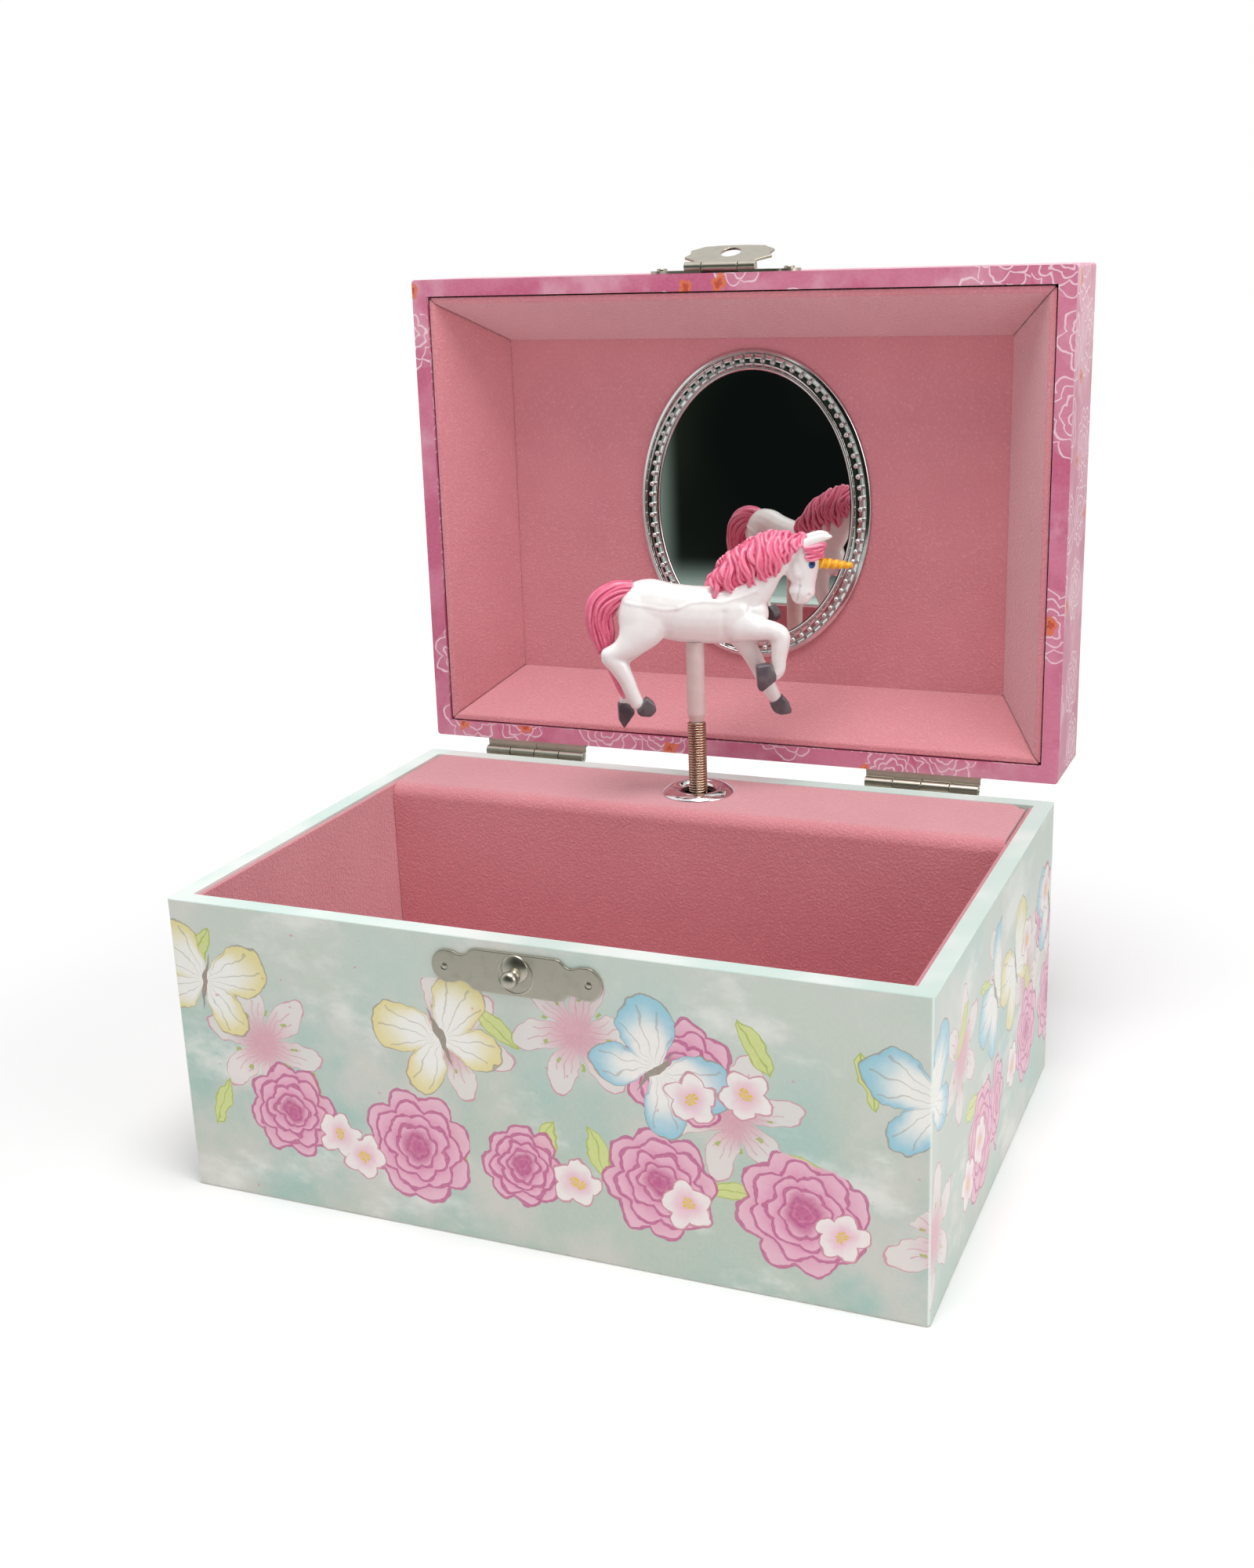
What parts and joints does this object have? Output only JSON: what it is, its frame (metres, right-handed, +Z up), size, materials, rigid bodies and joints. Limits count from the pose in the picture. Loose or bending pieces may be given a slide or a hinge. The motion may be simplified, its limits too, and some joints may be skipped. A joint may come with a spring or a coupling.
{
  "type": "musical jewellery box",
  "caption": "Card jewellery box with a hinged lid, oval mirror, snap hasp, lined compartment and wound music movement that turns a small unicorn on a spring.",
  "frame": {"origin": "middle of the underside of the base, on the surface it stands on", "axes": "+Z up, +Y to the rear where the hinges are, +X to the right seen from the clasp"},
  "size_m": [0.15, 0.1386, 0.1768],
  "materials": {
    "greyboard": "matt grey-brown board, cut edges",
    "printed_wrap": "satin printed paper, mint watercolour",
    "pink_wrap": "satin printed paper, deep pink",
    "underside_paper": "matt white paper",
    "pink_flock": "flocked velour card",
    "softwood": "sawn, unfinished",
    "nickel": "satin nickel plate, stamped",
    "bright_ring": "bright plated",
    "steel": "ground steel",
    "zinc": "die-cast, satin",
    "brass": "turned brass",
    "mirror_rim": "vacuum-metallised plastic, bright",
    "mirror_silver": "polished",
    "spring_wire": "nickel-plated wire",
    "clear_plastic": "translucent, moulded",
    "white_plastic": "glossy, moulded",
    "pink_plastic": "painted, satin",
    "orange_plastic": "painted, satin"
  },
  "bodies": {
    "base": {"front_board": "greyboard", "rear_board": "greyboard", "left_board": "greyboard", "right_board": "greyboard", "floor_board": "greyboard", "base_wrap": "printed_wrap", "underside_sheet": "underside_paper", "front_lining": "pink_flock", "left_lining": "pink_flock", "right_lining": "pink_flock", "floor_pad": "pink_flock", "movement_cover": "pink_flock", "cover_cleats": "softwood", "escutcheon_ring": "bright_ring", "latch_plate": "nickel", "latch_stud": "nickel", "latch_nails": "nickel", "left_hinge_base_leaf": "nickel", "right_hinge_base_leaf": "nickel", "hinge_pins": "nickel", "base_hinge_nails": "nickel", "movement_bedplate": "zinc", "movement_screws": "steel", "music_comb": "steel", "comb_screws": "steel", "governor_frame": "zinc", "spindle_bracket": "zinc"},
    "lid": {"lid_front_board": "greyboard", "lid_rear_board": "greyboard", "lid_left_board": "greyboard", "lid_right_board": "greyboard", "lid_top_board": "greyboard", "lid_wrap": "pink_wrap", "lid_side_lining": "pink_flock", "lid_panel": "pink_flock", "mirror_frame": "mirror_rim", "mirror_glass": "mirror_silver", "hasp_plate": "nickel", "hasp_pin": "nickel", "hasp_nails": "nickel", "left_hinge_lid_leaf": "nickel", "right_hinge_lid_leaf": "nickel", "lid_hinge_nails": "nickel"},
    "hasp": {"hasp_leaf": "nickel"},
    "key": {"winding_key": "nickel", "winding_arbor": "steel"},
    "barrel": {"spring_barrel": "brass", "barrel_cap": "brass", "mainspring": "steel"},
    "cylinder": {"pinned_cylinder": "brass", "cylinder_arbor": "brass"},
    "governor": {"governor_wheel": "brass"},
    "fly": {"fly_arbor": "steel"},
    "spindle": {"drive_spindle": "brass"},
    "spring": {"figure_spring": "spring_wire"},
    "figure": {"figure_post": "clear_plastic", "unicorn_body": "white_plastic", "unicorn_horn": "orange_plastic", "unicorn_mane": "pink_plastic", "unicorn_tail": "pink_plastic"}
  },
  "joints": [
    {"name": "lid_hinge", "type": "hinge", "parent": "base", "child": "lid", "pos_m": [0, 0.0563, 0.0616], "axis": [1, 0, 0], "range_deg": [0, 91]},
    {"name": "hasp_swing", "type": "hinge", "parent": "lid", "child": "hasp", "pos_m": [0, 0.05964, 0.17276], "axis": [1, 0, 0], "range_deg": [0, 157]},
    {"name": "key_wind", "type": "hinge", "parent": "base", "child": "key", "pos_m": [-0.0006, 0.056, 0.034], "axis": [0, 1, 0], "continuous": true},
    {"name": "barrel_spin", "type": "hinge", "parent": "base", "child": "barrel", "pos_m": [-0.0006, 0.045, 0.034], "axis": [0, 1, 0], "continuous": true},
    {"name": "cylinder_spin", "type": "hinge", "parent": "base", "child": "cylinder", "pos_m": [0.024, 0.0395, 0.034], "axis": [1, 0, 0], "continuous": true},
    {"name": "governor_spin", "type": "hinge", "parent": "base", "child": "governor", "pos_m": [0.038, 0.0395, 0.044], "axis": [1, 0, 0], "continuous": true},
    {"name": "fly_spin", "type": "hinge", "parent": "base", "child": "fly", "pos_m": [0.0408, 0.0395, 0.0505], "axis": [0, 1, 0], "continuous": true},
    {"name": "spindle_spin", "type": "hinge", "parent": "base", "child": "spindle", "pos_m": [-0.0006, 0.0395, 0.05], "axis": [0, 0, 1], "continuous": true},
    {"name": "figure_fold", "type": "hinge", "parent": "base", "child": "spring", "pos_m": [-0.0006, 0.0395, 0.068], "axis": [0.891, 0.454, 0], "range_deg": [0, 91], "deforming": ["figure_spring"]},
    {"name": "figure_spin", "type": "hinge", "parent": "spring", "child": "figure", "pos_m": [-0.0006, 0.0395, 0.08], "axis": [0, 0, 1], "continuous": true}
  ],
  "couplings": [
    {"joint": "cylinder_spin", "follows": "barrel_spin", "ratio": -4},
    {"joint": "governor_spin", "follows": "barrel_spin", "ratio": 12},
    {"joint": "fly_spin", "follows": "barrel_spin", "ratio": 120},
    {"joint": "spindle_spin", "follows": "barrel_spin", "ratio": -4},
    {"joint": "figure_spin", "follows": "barrel_spin", "ratio": -4},
    {"joint": "figure_fold", "follows": "lid_hinge", "ratio": 1}
  ]
}
